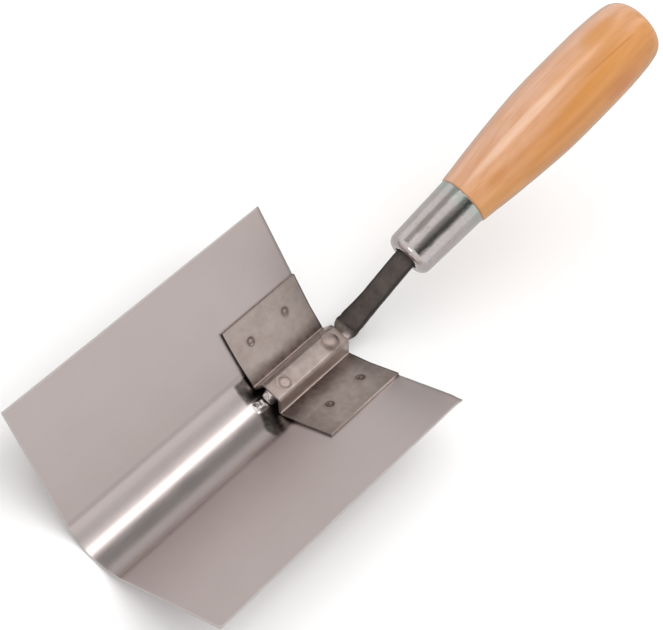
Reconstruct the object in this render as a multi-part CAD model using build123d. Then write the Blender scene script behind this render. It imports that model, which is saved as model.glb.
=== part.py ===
from build123d import *
from math import atan2, cos, hypot, radians, sin, sqrt, tan
import os

# Inside corner trowel, millimetres.
# X runs across the blade, +Y points to the front edge of the blade, +Z up.
# Origin: under the back edge of the blade, on the lowest line of the rounded
# nose, in the symmetry plane of the tool.

# ---------------------------------------------------------------- blade
blade_length = 127.0          # front edge to back edge, 5 in
sheet = 0.7                   # blade sheet thickness
corner_angle = 108.4          # angle between the two wings at rest
nose_inner_radius = 21.1      # radius of the bend on the hollow side
wing_width = 61.2             # hollow side, sharp corner to outer edge

# ---------------------------------------------------------------- bracket
bracket_length = 38.5
bracket_sheet = 1.0
bracket_wing = 32.7           # sharp corner to the bracket's outer edge
bracket_seat = 19.0           # the wing lies flat on the blade beyond this
fold_half = 6.6               # half distance between the two inside folds
hat_half = 4.3                # half width of the flat top, outside
hat_top = 8.6                 # flat top above the lowest line of the nose

# ---------------------------------------------------------------- shank
foot_w, foot_h, foot_r = 5.4, 6.4, 1.3      # part held inside the bracket
flat_w, flat_h, flat_r = 8.1, 3.8, 1.2      # flattened part between
spike_w, spike_r = 5.2, 0.9                 # square spike inside the wood
spike_tip_w = 3.4
shank_rise = 58.0             # steep part, above the crease line
bend_radius = 8.0
upper_bend_radius = 8.0
spike_length = 74.0           # from the ferrule's datum ring

# ---------------------------------------------------------------- handle
handle_angle = 24.34          # handle axis above the crease line
handle_y, handle_z = -25.71, 36.01          # datum point on the handle axis
ferrule_front, ferrule_rear = -1.6, 28.0    # along the axis from the datum
ferrule_r_front, ferrule_r_rear = 8.97, 9.95
ferrule_wall = 0.9
ferrule_shoulder = 3.2
ferrule_hole = 9.8            # diameter of the hole in the ferrule's end
spigot_front = 3.0
bore = 6.6                    # hole in the wood for the spike
bore_mouth = 9.8
# wood profile: distance along the axis, radius
wood_profile = [
    (28.0, 10.30), (33.2, 10.92), (39.0, 11.70), (45.0, 12.38),
    (54.2, 13.32), (63.4, 14.13), (70.0, 14.58), (78.0, 14.76),
    (86.0, 14.78), (94.0, 14.72), (101.0, 14.58), (107.0, 14.22),
    (112.0, 13.76),
]
butt_end = 122.1
butt_flat = 6.8               # radius of the flat face at the butt
butt_mid = (119.55, 11.25)    # a point on the rounded edge of the butt

# ---------------------------------------------------------------- welds
wing_weld_d = 3.1
wing_weld_sink = 0.15         # dimple below the bracket's face
# side, distance from the sharp corner, distance from the back edge
wing_welds = [(1, 23.5, 29.8), (1, 23.8, 11.0), (-1, 21.4, 25.4), (-1, 21.8, 8.6)]
hat_weld_front = (31.2, 2.3, 0.35)          # y, radius, height of the cap
hat_weld_back = (5.6, 3.2, 0.80)

# ================================================================ helpers
half = radians(corner_angle / 2)
# height of the sharp corner of the hollow faces above the lowest line
corner_z = -(nose_inner_radius / sin(half) - nose_inner_radius - sheet)


def on_wing(side, along, lift):
    """Point (x, z) on a wing, `along` from the sharp corner, `lift` above it."""
    return (
        side * (along * sin(half) - lift * cos(half)),
        corner_z + along * cos(half) + lift * sin(half),
    )


def rounded_face(points, radii, y):
    """Closed section in the plane at this y, each corner rounded."""
    n = len(points)
    starts, ends, mids = [], [], []
    for i in range(n):
        p, a, b = points[i], points[i - 1], points[(i + 1) % n]
        r = radii[i]
        ua = (a[0] - p[0], a[1] - p[1])
        ub = (b[0] - p[0], b[1] - p[1])
        la, lb = hypot(*ua), hypot(*ub)
        ua, ub = (ua[0] / la, ua[1] / la), (ub[0] / lb, ub[1] / lb)
        if r <= 0:
            starts.append(p)
            ends.append(p)
            mids.append(None)
            continue
        dot = max(-1.0, min(1.0, ua[0] * ub[0] + ua[1] * ub[1]))
        ang = 0.5 * _acos(dot)
        cut = r / tan(ang)
        starts.append((p[0] + ua[0] * cut, p[1] + ua[1] * cut))
        ends.append((p[0] + ub[0] * cut, p[1] + ub[1] * cut))
        bis = (ua[0] + ub[0], ua[1] + ub[1])
        lbis = hypot(*bis)
        away = r / sin(ang) - r
        mids.append((p[0] + bis[0] / lbis * away, p[1] + bis[1] / lbis * away))
    edges = []
    for i in range(n):
        if mids[i] is not None:
            edges.append(
                ThreePointArc(
                    (starts[i][0], y, starts[i][1]),
                    (mids[i][0], y, mids[i][1]),
                    (ends[i][0], y, ends[i][1]),
                )
            )
        j = (i + 1) % n
        edges.append(
            Line((ends[i][0], y, ends[i][1]), (starts[j][0], y, starts[j][1]))
        )
    return make_face(Wire(edges))


def _acos(v):
    return atan2(sqrt(max(0.0, 1 - v * v)), v)


# ================================================================ blade
# One sheet bent round the nose: two flat wings joined by a wide bend.
tangent = nose_inner_radius / tan(half)
inner_r = nose_inner_radius
outer_r = nose_inner_radius + sheet
nose_centre_z = corner_z + nose_inner_radius / sin(half)


def blade_face(y):
    li, ri = on_wing(-1, tangent, 0), on_wing(1, tangent, 0)
    lo, ro = on_wing(-1, tangent, -sheet), on_wing(1, tangent, -sheet)
    lt, rt = on_wing(-1, wing_width, 0), on_wing(1, wing_width, 0)
    lb, rb = on_wing(-1, wing_width, -sheet), on_wing(1, wing_width, -sheet)
    p = lambda q: (q[0], y, q[1])
    edges = [
        Line(p(lt), p(li)),
        ThreePointArc(p(li), (0, y, nose_centre_z - inner_r), p(ri)),
        Line(p(ri), p(rt)),
        Line(p(rt), p(rb)),
        Line(p(rb), p(ro)),
        ThreePointArc(p(ro), (0, y, nose_centre_z - outer_r), p(lo)),
        Line(p(lo), p(lb)),
        Line(p(lb), p(lt)),
    ]
    return make_face(Wire(edges))


blade = extrude(blade_face(0.0), amount=blade_length, dir=(0, 1, 0))

# ================================================================ bracket
# Raised channel folded from one strip. Its wings lie flat on the blade at
# their outer part and ride up on the nose curve towards the inside folds.
fold_lower_x = fold_half - 0.15
fold_lower_z = nose_centre_z - sqrt(inner_r**2 - fold_lower_x**2) + 0.03


def shift(a, b, d):
    """Line a-b moved by d to its left."""
    ux, uz = b[0] - a[0], b[1] - a[1]
    l = hypot(ux, uz)
    nx, nz = -uz / l, ux / l
    return (a[0] + nx * d, a[1] + nz * d), (b[0] + nx * d, b[1] + nz * d)


def cross(l1, l2):
    (x1, z1), (x2, z2) = l1
    (x3, z3), (x4, z4) = l2
    den = (x1 - x2) * (z3 - z4) - (z1 - z2) * (x3 - x4)
    a = x1 * z2 - z1 * x2
    b = x3 * z4 - z3 * x4
    return (
        (a * (x3 - x4) - (x1 - x2) * b) / den,
        (a * (z3 - z4) - (z1 - z2) * b) / den,
    )


# lower side of the strip, right half, from the outer edge to the flat top
s0 = on_wing(1, bracket_wing, 0)
s1 = on_wing(1, bracket_seat, 0)
s2 = (fold_lower_x, fold_lower_z)
top_in = hat_top - bracket_sheet
riser_out = ((fold_half, fold_lower_z + bracket_sheet), (hat_half, hat_top))
riser_in = shift(riser_out[0], riser_out[1], bracket_sheet)
wing_tilt = (s1, s2)
flat_under = ((10.0, top_in), (-10.0, top_in))
low_fold = cross(wing_tilt, riser_in)
low_top = cross(riser_in, flat_under)
# upper side of the strip
up_wing_flat = shift(s0, s1, -bracket_sheet)
up_wing_tilt = shift(s1, low_fold, -bracket_sheet)
up0 = up_wing_flat[0]
up1 = cross(up_wing_flat, up_wing_tilt)
riser_line = shift(low_fold, low_top, -bracket_sheet)
up_fold = cross(up_wing_tilt, riser_line)
up_top = cross(riser_line, ((10.0, hat_top), (-10.0, hat_top)))

mirror_x = lambda q: (-q[0], q[1])
lower_side = [s0, s1, low_fold, low_top]
upper_side = [up0, up1, up_fold, up_top]
loop = (
    lower_side
    + [mirror_x(q) for q in reversed(lower_side)]
    + [mirror_x(q) for q in upper_side]
    + list(reversed(upper_side))
)
r_low = [0.0, 0.0, 1.25, 0.7]
r_up = [0.0, 0.0, 0.35, 1.7]
loop_r = r_low + list(reversed(r_low)) + r_up + list(reversed(r_up))
bracket = extrude(rounded_face(loop, loop_r, 0.0), amount=bracket_length, dir=(0, 1, 0))

# ================================================================ shank
# One bar: a squared foot in the bracket, flattened above the bend, and a
# square spike driven into the wood.
foot_top = top_in
foot_z = foot_top - foot_h / 2
ha = radians(handle_angle)
ax_dir = (0.0, -cos(ha), sin(ha))


def on_axis(s):
    return (0.0, handle_y + ax_dir[1] * s, handle_z + ax_dir[2] * s)


def bar_plane(y, z, rise):
    t = radians(rise)
    return Plane(origin=(0, y, z), x_dir=(1, 0, 0), z_dir=(0, -cos(t), sin(t)))


def bar_section(plane, w, h, r):
    return plane * RectangleRounded(w, h, r)


foot_back = 0.4
bars = []
foot_sec = bar_section(bar_plane(bracket_length - 0.8, foot_z, 0), foot_w, foot_h, foot_r)
bars.append(extrude(foot_sec, amount=bracket_length - 0.8 - foot_back, dir=(0, -1, 0)))
bend = []
for rise, w, h, r in (
    (0.0, foot_w, foot_h, foot_r),
    (10.0, 5.7, 6.1, 1.3),
    (20.0, 6.6, 5.3, 1.3),
    (30.0, 7.7, 4.5, 1.3),
    (40.0, 8.4, 4.0, 1.25),
    (50.0, 8.4, 3.85, 1.2),
    (shank_rise, flat_w, flat_h, flat_r),
):
    t = radians(rise)
    bend.append(
        bar_section(
            bar_plane(foot_back - bend_radius * sin(t), foot_z + bend_radius * (1 - cos(t)), rise),
            w, h, r,
        )
    )
bars.append(loft(bend))
t1 = radians(shank_rise)
b1 = (foot_back - bend_radius * sin(t1), foot_z + bend_radius * (1 - cos(t1)))
# where the steep line meets the handle axis
k = tan(ha)
rise_len = (handle_z - b1[1] + (handle_y - b1[0]) * k) / (sin(t1) - cos(t1) * k)
meet = (b1[0] - cos(t1) * rise_len, b1[1] + sin(t1) * rise_len)
turn = t1 - ha
cut = upper_bend_radius * tan(turn / 2)
straight = rise_len - cut
bars.append(
    extrude(
        bar_section(bar_plane(b1[0], b1[1], shank_rise), flat_w, flat_h, flat_r),
        amount=straight,
        dir=(0, -cos(t1), sin(t1)),
    )
)
b2 = (b1[0] - cos(t1) * straight, b1[1] + sin(t1) * straight)
# the upper bend turns back towards the crease line: its centre lies below
c2 = (b2[0] - sin(t1) * upper_bend_radius, b2[1] - cos(t1) * upper_bend_radius)
upper = []
for i in range(6):
    rise = shank_rise + (handle_angle - shank_rise) * i / 5
    t = radians(rise)
    upper.append(
        bar_section(
            bar_plane(c2[0] + sin(t) * upper_bend_radius, c2[1] + cos(t) * upper_bend_radius, rise),
            flat_w, flat_h, flat_r,
        )
    )
bars.append(loft(upper))
s_meet = (handle_y - meet[0]) / cos(ha)
s_end = s_meet + cut
spike_start = s_end + 3.6


def axis_plane(s):
    o = on_axis(s)
    return Plane(origin=o, x_dir=(1, 0, 0), z_dir=ax_dir)


bars.append(
    loft([
        bar_section(axis_plane(s_end), flat_w, flat_h, flat_r),
        bar_section(axis_plane(spike_start), flat_w * 0.76, 4.4, 1.05),
        bar_section(axis_plane(spike_start + 5.0), spike_w, spike_w, spike_r),
    ], ruled=True)
)
bars.append(
    loft([
        bar_section(axis_plane(spike_start + 5.0), spike_w, spike_w, spike_r),
        bar_section(axis_plane(spike_length), spike_tip_w, spike_tip_w, spike_r * 0.7),
    ], ruled=True)
)
shank = bars[0]
for b in bars[1:]:
    shank = shank + b
shank = shank.clean()

# ================================================================ ferrule
# Drawn steel cup, slightly tapered, with a rounded shoulder and a hole for
# the shank. Profiles are drawn as (distance along the axis, radius).
axis_frame = Plane(origin=on_axis(0), x_dir=ax_dir, z_dir=(1, 0, 0))
spin_axis = Axis(on_axis(0), ax_dir)


def at(s, r):
    return axis_frame.from_local_coords((s, r, 0))


def cone_r(s):
    f = (s - ferrule_front) / (ferrule_rear - ferrule_front)
    return ferrule_r_front + (ferrule_r_rear - ferrule_r_front) * f


sh = ferrule_shoulder
shi = sh - ferrule_wall
k45 = sqrt(0.5)
slope_r = cone_r(ferrule_front + sh)
fo = [
    Line(at(ferrule_front, ferrule_hole / 2), at(ferrule_front, slope_r - sh)),
    ThreePointArc(
        at(ferrule_front, slope_r - sh),
        at(ferrule_front + sh * (1 - k45), slope_r - sh * (1 - k45)),
        at(ferrule_front + sh, slope_r),
    ),
    Line(at(ferrule_front + sh, slope_r), at(ferrule_rear, ferrule_r_rear)),
    Line(at(ferrule_rear, ferrule_r_rear), at(ferrule_rear, ferrule_r_rear - ferrule_wall)),
    Line(
        at(ferrule_rear, ferrule_r_rear - ferrule_wall),
        at(ferrule_front + sh, slope_r - ferrule_wall),
    ),
    ThreePointArc(
        at(ferrule_front + sh, slope_r - ferrule_wall),
        at(
            ferrule_front + ferrule_wall + shi * (1 - k45),
            slope_r - ferrule_wall - shi * (1 - k45),
        ),
        at(ferrule_front + ferrule_wall, slope_r - sh),
    ),
    Line(
        at(ferrule_front + ferrule_wall, slope_r - sh),
        at(ferrule_front + ferrule_wall, ferrule_hole / 2),
    ),
    Line(
        at(ferrule_front + ferrule_wall, ferrule_hole / 2),
        at(ferrule_front, ferrule_hole / 2),
    ),
]
ferrule = revolve(make_face(Wire(fo)), axis=spin_axis, revolution_arc=360)

# ================================================================ handle
# Turned wood: a spigot inside the ferrule, a swelling grip and a rounded
# butt, bored from the front for the spike.
spig_front_r = slope_r - ferrule_wall + (
    (ferrule_r_rear - slope_r) * (spigot_front - (ferrule_front + sh)) / (ferrule_rear - ferrule_front - sh)
)
spig_rear_r = ferrule_r_rear - ferrule_wall
prof = [at(s, r) for s, r in wood_profile]
wd = [
    Line(at(spigot_front, bore_mouth / 2), at(spigot_front, spig_front_r)),
    Line(at(spigot_front, spig_front_r), at(ferrule_rear, spig_rear_r)),
    Line(at(ferrule_rear, spig_rear_r), prof[0]),
    Spline(*prof),
    Spline(
        prof[-1], at(116.2, 13.12), at(*butt_mid), at(121.35, 9.1), at(butt_end, butt_flat),
    ),
    Line(at(butt_end, butt_flat), at(butt_end, 0)),
    Line(at(butt_end, 0), at(spike_length + 2.0, 0)),
    Line(at(spike_length + 2.0, 0), at(spike_length + 1.0, bore / 2)),
    Line(at(spike_length + 1.0, bore / 2), at(spigot_front + 6.0, bore / 2)),
    Line(at(spigot_front + 6.0, bore / 2), at(spigot_front, bore_mouth / 2)),
]
handle = revolve(make_face(Wire(wd)), axis=spin_axis, revolution_arc=360)

# ================================================================ welds
# Resistance spot welds. Each wing weld fills a hole through the bracket
# down to the blade and leaves a shallow dimple.
nuggets, holes = [], []
for side, along, y in wing_welds:
    o = on_wing(side, along, 0)
    nx, nz = -side * cos(half), sin(half)
    seat = Plane(origin=(o[0], y, o[1]), x_dir=(0, 1, 0), z_dir=(nx, 0, nz))
    disc = seat * Circle(wing_weld_d / 2)
    nuggets.append(extrude(disc, amount=bracket_sheet - wing_weld_sink, dir=(nx, 0, nz)))
    holes.append(extrude(disc, amount=bracket_sheet + 0.5, dir=(nx, 0, nz)))
plugs = []
for y, r, cap in (hat_weld_front, hat_weld_back):
    core = 1.6
    ball = (r * r + cap * cap) / (2 * cap)
    plane = Plane(origin=(0, y, top_in), x_dir=(1, 0, 0), z_dir=(0, 0, 1))
    stem = extrude(plane * Circle(core), amount=bracket_sheet, dir=(0, 0, 1))
    dome = Pos(0, y, hat_top + cap - ball) * Sphere(ball)
    keep = Pos(0, y, hat_top + 5.0) * Box(20, 20, 10)
    plugs.append(stem + (dome & keep))
    holes.append(stem)
for h in holes:
    bracket = bracket - h

# ================================================================ output
os.makedirs("parts", exist_ok=True)
nodes = {
    "blade": [blade],
    "bracket": [bracket],
    "shank": [shank],
    "ferrule": [ferrule],
    "handle": [handle],
    "wing_spot_welds": nuggets,
    "shank_spot_welds": plugs,
}
for name, shapes in nodes.items():
    solids = [s for shape in shapes for s in shape.solids()]
    body = solids[0] if len(solids) == 1 else Compound(children=solids)
    body.label = name
    export_step(body, f"parts/{name}.step")
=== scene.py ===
import math
from math import atan2, cos, hypot, pi, radians, sin, sqrt, tan

import bmesh
import bpy
import numpy as np
from mathutils import Matrix, Vector, noise


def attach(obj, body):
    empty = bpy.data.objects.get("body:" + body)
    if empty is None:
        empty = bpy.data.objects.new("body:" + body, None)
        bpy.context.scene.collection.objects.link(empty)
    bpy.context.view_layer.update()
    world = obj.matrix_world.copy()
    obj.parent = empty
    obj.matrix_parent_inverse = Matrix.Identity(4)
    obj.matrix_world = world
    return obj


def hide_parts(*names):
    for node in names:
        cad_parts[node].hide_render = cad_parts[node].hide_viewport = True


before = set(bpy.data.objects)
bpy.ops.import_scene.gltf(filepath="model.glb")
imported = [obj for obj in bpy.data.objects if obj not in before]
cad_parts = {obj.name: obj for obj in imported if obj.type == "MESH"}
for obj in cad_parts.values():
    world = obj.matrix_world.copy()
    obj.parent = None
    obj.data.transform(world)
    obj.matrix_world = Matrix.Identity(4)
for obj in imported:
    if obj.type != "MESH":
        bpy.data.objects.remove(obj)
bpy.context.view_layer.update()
MM = 0.001

# --------------------------------------------------------------- dimensions
# The same numbers as the solids, in millimetres.
HALF = radians(108.4 / 2)
SHEET = 0.7
NOSE_R = 21.1
WING = 61.2
LENGTH = 127.0
CORNER_Z = -(NOSE_R / sin(HALF) - NOSE_R - SHEET)
BR_LEN, BR_T, BR_WING, BR_SEAT = 38.5, 1.0, 32.7, 19.0
FOLD, HAT_HALF, HAT_TOP = 6.6, 4.3, 8.6
H_ANG = radians(24.34)
H_Y, H_Z = -25.71, 36.01
AX = (0.0, -cos(H_ANG), sin(H_ANG))       # handle axis
UP = (0.0, sin(H_ANG), cos(H_ANG))        # across it, towards the top


def on_wing(side, along, lift):
    return (
        side * (along * sin(HALF) - lift * cos(HALF)),
        CORNER_Z + along * cos(HALF) + lift * sin(HALF),
    )


def nz(x, y, z, f=1.0):
    return noise.noise(Vector((x * f, y * f, z * f)))


def make_object(name, verts, faces, attrs=None, smooth_angle=radians(38)):
    """Mesh in metres from millimetre points, with smooth shading and hard edges kept."""
    me = bpy.data.meshes.new(name)
    me.from_pydata([(x * MM, y * MM, z * MM) for x, y, z in verts], [], faces)
    me.update()
    bm = bmesh.new()
    bm.from_mesh(me)
    bmesh.ops.recalc_face_normals(bm, faces=bm.faces)
    for f in bm.faces:
        f.smooth = True
    bm.to_mesh(me)
    bm.free()
    for key, values in (attrs or {}).items():
        a = me.attributes.new(key, "FLOAT", "POINT")
        a.data.foreach_set("value", np.array(values, np.float32))
    ob = bpy.data.objects.new(name, me)
    bpy.context.scene.collection.objects.link(ob)
    me.set_sharp_from_angle(angle=smooth_angle)
    return ob


# --------------------------------------------------------------- sheet metal
def strip_path(points, radii, flat_step, arc_step_deg, fine=None):
    """Samples a polyline with rounded corners. Returns points, left normals and
    developed length."""
    P, N = [], []
    n = len(points)
    starts, ends, arcs = [None] * n, [None] * n, [None] * n
    for i, p in enumerate(points):
        if i in (0, n - 1) or radii[i] <= 0:
            starts[i] = ends[i] = p
            continue
        a, b = points[i - 1], points[i + 1]
        ua = Vector((a[0] - p[0], a[1] - p[1])).normalized()
        ub = Vector((b[0] - p[0], b[1] - p[1])).normalized()
        ang = ua.angle(ub) / 2
        cut = radii[i] / tan(ang)
        starts[i] = (p[0] + ua[0] * cut, p[1] + ua[1] * cut)
        ends[i] = (p[0] + ub[0] * cut, p[1] + ub[1] * cut)
        bis = (ua + ub).normalized()
        c = (p[0] + bis[0] * radii[i] / sin(ang), p[1] + bis[1] * radii[i] / sin(ang))
        arcs[i] = c
    for i in range(n):
        if arcs[i] is not None:
            c = arcs[i]
            a0 = atan2(starts[i][1] - c[1], starts[i][0] - c[0])
            a1 = atan2(ends[i][1] - c[1], ends[i][0] - c[0])
            d = (a1 - a0 + pi) % (2 * pi) - pi
            k = max(2, int(round(abs(math.degrees(d)) / arc_step_deg)))
            for j in range(k + 1):
                a = a0 + d * j / k
                q = (c[0] + radii[i] * cos(a), c[1] + radii[i] * sin(a))
                s = 1.0 if d > 0 else -1.0
                # left normal of the travelling direction
                N.append((-cos(a) * s, -sin(a) * s))
                P.append(q)
        if i < n - 1:
            a, b = ends[i], starts[i + 1]
            L = hypot(b[0] - a[0], b[1] - a[1])
            ux, uz = (b[0] - a[0]) / L, (b[1] - a[1]) / L
            k = max(1, int(round(L / flat_step)))
            lo = 0 if (arcs[i] is None and (i == 0)) else 1
            hi = k + 1 if (arcs[i + 1] is None) else k
            for j in range(lo, hi):
                P.append((a[0] + ux * L * j / k, a[1] + uz * L * j / k))
                N.append((-uz, ux))
    S = [0.0]
    for i in range(1, len(P)):
        S.append(S[-1] + hypot(P[i][0] - P[i - 1][0], P[i][1] - P[i - 1][1]))
    half = S[-1] / 2
    return P, N, [s - half for s in S]


def smoothstep(a, b, x):
    if a == b:
        return 0.0 if x < a else 1.0
    t = min(1.0, max(0.0, (x - a) / (b - a)))
    return t * t * (3 - 2 * t)


def sheet_solid(name, path, thick, ys, bevel, move=None, y_edge=None, masks=None):
    """A sheet of even thickness along a section path, from ys[0] to ys[-1], with
    rounded edges all round. move gives an extra offset at a point, masks the values
    of named point attributes there."""
    P, N, S = path
    m = len(P)
    verts, edge_wear_and_shade = [], []
    extra = {}
    segs = 3
    y0, y1 = ys[0], ys[-1]
    quarter = [(bevel * (1 - cos(pi / 2 * k / segs)), bevel * (1 - sin(pi / 2 * k / segs))) for k in range(segs + 1)]
    rings = [(y0 + e[0], e[1]) for e in quarter]
    rings += [(y, 0.0) for y in ys[1:-1]]
    rings += [(y1 - e[0], e[1]) for e in reversed(quarter)]
    ring_len = None
    for y, ins in rings:

        def put(i, du, depth):
            p, n = P[i], N[i]
            a, b = (P[0], P[1]) if i == 0 else (P[m - 2], P[m - 1])
            L = hypot(b[0] - a[0], b[1] - a[1])
            t = ((b[0] - a[0]) / L, (b[1] - a[1]) / L)
            off = thick / 2 - depth
            x = p[0] + t[0] * du + n[0] * off
            z = p[1] + t[1] * du + n[1] * off
            yy = y_edge(S[i], y) if y_edge else y
            dx = dy = dz = 0.0
            if move:
                dx, dy, dz = move(S[i], yy, (x, z), n, off)
            verts.append((x + dx, yy + dy, z + dz))
            border = min(S[i] - S[0], S[-1] - S[i], y - y0, y1 - y)
            edge_wear_and_shade.append(max(0.0, 1.0 - border / 1.5))
            if masks:
                for k, v in masks(S[i], yy, (x, z), off).items():
                    extra.setdefault(k, []).append(v)

        for e in quarter:
            put(0, max(ins, e[0]), max(ins, e[1]))
        for i in range(1, m - 1):
            put(i, 0.0, ins)
        for e in reversed(quarter):
            put(m - 1, -max(ins, e[0]), max(ins, e[1]))
        for e in quarter:
            put(m - 1, -max(ins, e[0]), thick - max(ins, e[1]))
        for i in range(m - 2, 0, -1):
            put(i, 0.0, thick - ins)
        for e in reversed(quarter):
            put(0, max(ins, e[0]), thick - max(ins, e[1]))
        if ring_len is None:
            ring_len = len(verts)
    faces = []
    R = len(rings)
    for r in range(R - 1):
        for i in range(ring_len):
            j = (i + 1) % ring_len
            faces.append((r * ring_len + i, r * ring_len + j, (r + 1) * ring_len + j, (r + 1) * ring_len + i))
    # caps: join the top half of the loop with the bottom half
    h = ring_len // 2
    for r in (0, R - 1):
        b = r * ring_len
        for i in range(h - 1):
            faces.append((b + i, b + i + 1, b + ring_len - 2 - i, b + ring_len - 1 - i))
    ob = make_object(name, verts, faces, {"edge_wear_and_shade": edge_wear_and_shade, **extra})
    bm = bmesh.new()
    bm.from_mesh(ob.data)
    bmesh.ops.remove_doubles(bm, verts=bm.verts, dist=2e-7)
    bmesh.ops.dissolve_degenerate(bm, edges=bm.edges, dist=1e-7)
    bmesh.ops.recalc_face_normals(bm, faces=bm.faces)
    bm.to_mesh(ob.data)
    bm.free()
    ob.data.set_sharp_from_angle(angle=radians(38))
    return ob


def frange(a, b, step):
    k = max(1, int(round((b - a) / step)))
    return [a + (b - a) * i / k for i in range(k + 1)]


# --------------------------------------------------------------- blade
mid = -SHEET / 2
# path runs from +X wing edge to -X wing edge, so the left normal points down;
# it is run the other way, so the left normal points to the hollow side
corner_mid = (0.0, CORNER_Z - (SHEET / 2) / sin(HALF))
blade_path = strip_path(
    [on_wing(-1, WING, mid), corner_mid, on_wing(1, WING, mid)],
    [0, NOSE_R + SHEET / 2, 0],
    0.75,
    1.6,
)


def blade_move(u, y, p, n, off):
    # slight unevenness of hand-held sheet, a fraction of a tenth of a millimetre
    w = 0.05 * nz(u * 0.045, y * 0.03, 3.1) + 0.015 * nz(u * 0.16, y * 0.11, 7.7)
    w *= smoothstep(10, 22, abs(u))
    # the back corner of the -X wing is bumped outwards a little
    c = smoothstep(-54.0, -58.2, u) * smoothstep(4.5, 0.3, y)
    w += -0.5 * c
    return (n[0] * w, 0.0, n[1] * w)


# developed distance from the middle of the nose to where the wing goes flat
U_TAN = (NOSE_R + SHEET / 2) * (pi / 2 - HALF)


def stain(u, y):
    """Dark patches on the nose just in front of the channel."""
    if y < 36 or y > 49:
        return 0.0
    j = 0.5 * nz(u * 0.5, y * 0.5, 31)
    left = smoothstep(3.0, 4.2, u + j) * (1 - smoothstep(11.8, 12.9, u + j)) * (1 - smoothstep(43.4, 44.9, y + j))
    reach = 43.6 + 3.2 * smoothstep(-2.0, -8.5, u)
    right = smoothstep(-14.5, -11.8, u + j) * (1 - smoothstep(-2.6, -0.9, u + j)) * (1 - smoothstep(reach - 0.8, reach + 0.8, y + j))
    return min(1.0, max(left, right) * (1.05 + 0.3 * nz(u * 0.7, y * 0.7, 77)))


def blade_masks(u, y, p, off):
    d = abs(abs(u) - U_TAN)
    return {
        "nose": 1 - smoothstep(U_TAN - 1.5, U_TAN + 2.5, abs(u)),
        # painted shade: a dark line along each tangent where the nose meets a flat wing
        "crease": (1 - smoothstep(0.2, 1.5, d)) * (0.8 + 0.2 * nz(u * 0.5, y * 0.05, 60)),
        "stain": stain(u, y) if off > 0 else 0.0,
        # painted glints: near-white and dark specks over a bumpy patch of the nose beside the channel
        "spatter": (1 - smoothstep(1.3, 2.1, abs(u - 0.9))) * smoothstep(37.5, 39.0, y) * (1 - smoothstep(42.2, 43.6, y)) if off > 0 else 0.0,
        "rear": 1 - smoothstep(0.35, 1.3, y),
    }


ys = frange(0, 36.5, 1.6) + frange(37, 48.5, 0.5) + frange(49.5, LENGTH, 1.6)
blade = sheet_solid("blade_sheet", blade_path, SHEET, ys, 0.16, blade_move, None, blade_masks)
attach(blade, "root")
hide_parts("blade")

# --------------------------------------------------------------- bracket
nose_cz = CORNER_Z + NOSE_R / sin(HALF)
fold_lx = FOLD - 0.15
fold_lz = nose_cz - sqrt(NOSE_R**2 - fold_lx**2) + 0.03


def shift(a, b, d):
    ux, uz = b[0] - a[0], b[1] - a[1]
    l = hypot(ux, uz)
    return (a[0] - uz / l * d, a[1] + ux / l * d), (b[0] - uz / l * d, b[1] + ux / l * d)


def cross(l1, l2):
    (x1, z1), (x2, z2) = l1
    (x3, z3), (x4, z4) = l2
    den = (x1 - x2) * (z3 - z4) - (z1 - z2) * (x3 - x4)
    a, b = x1 * z2 - z1 * x2, x3 * z4 - z3 * x4
    return ((a * (x3 - x4) - (x1 - x2) * b) / den, (a * (z3 - z4) - (z1 - z2) * b) / den)


hb = BR_T / 2
s0, s1, s2 = on_wing(1, BR_WING, 0), on_wing(1, BR_SEAT, 0), (fold_lx, fold_lz)
riser_in = shift((FOLD, fold_lz + BR_T), (HAT_HALF, HAT_TOP), BR_T)
low_fold = cross((s1, s2), riser_in)
low_top = cross(riser_in, ((10, HAT_TOP - BR_T), (-10, HAT_TOP - BR_T)))
flat_m, tilt_m = shift(s0, s1, -hb), shift(s1, low_fold, -hb)
riser_m, top_m = shift(low_fold, low_top, -hb), ((10, HAT_TOP - hb), (-10, HAT_TOP - hb))
m0, m1 = flat_m[0], cross(flat_m, tilt_m)
m2, m3 = cross(tilt_m, riser_m), cross(riser_m, top_m)
half_pts = [m0, m1, m2, m3]
mir = lambda q: (-q[0], q[1])
br_pts = [mir(q) for q in half_pts] + list(reversed(half_pts))
br_rad = [0, 6.0, 0.85, 1.25, 1.25, 0.85, 6.0, 0]
bracket_path = strip_path(br_pts, br_rad, 0.36, 7.0)

WELDS = [(1, 23.5, 29.8), (1, 23.8, 11.0), (-1, 21.4, 25.4), (-1, 21.8, 8.6)]
HAT_WELDS = [(31.2, 2.3), (5.6, 3.2)]
weld_xz = []
for side, along, y in WELDS:
    q = on_wing(side, along, BR_T)
    weld_xz.append((q[0], y, q[1]))


def bracket_move(u, y, p, n, off):
    w = 0.02 * nz(u * 0.2, y * 0.16, 21.0)
    if off > 0:
        for wx, wy, wz in weld_xz:
            d = sqrt((p[0] - wx) ** 2 + (y - wy) ** 2 + (p[1] - wz) ** 2)
            # the electrode pressed the sheet in around each weld
            w += -0.40 * (1 - smoothstep(0.9, 1.5, d)) - 0.06 * (1 - smoothstep(1.3, 3.4, d))
        if abs(p[0]) < 4.2 and p[1] > HAT_TOP - 2.2:
            for wy, r in HAT_WELDS:
                d = hypot(p[0], y - wy)
                w += -0.35 * (1 - smoothstep(r - 0.25, r + 0.2, d))
    return (n[0] * w, 0.0, n[1] * w)


def bracket_skew(u, y):
    # the strip was sheared and set down a touch out of square
    f = y / BR_LEN
    return y + f * (0.9 * smoothstep(8, 34, u) - 0.3 * smoothstep(-8, -34, u) - 0.35)


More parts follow.
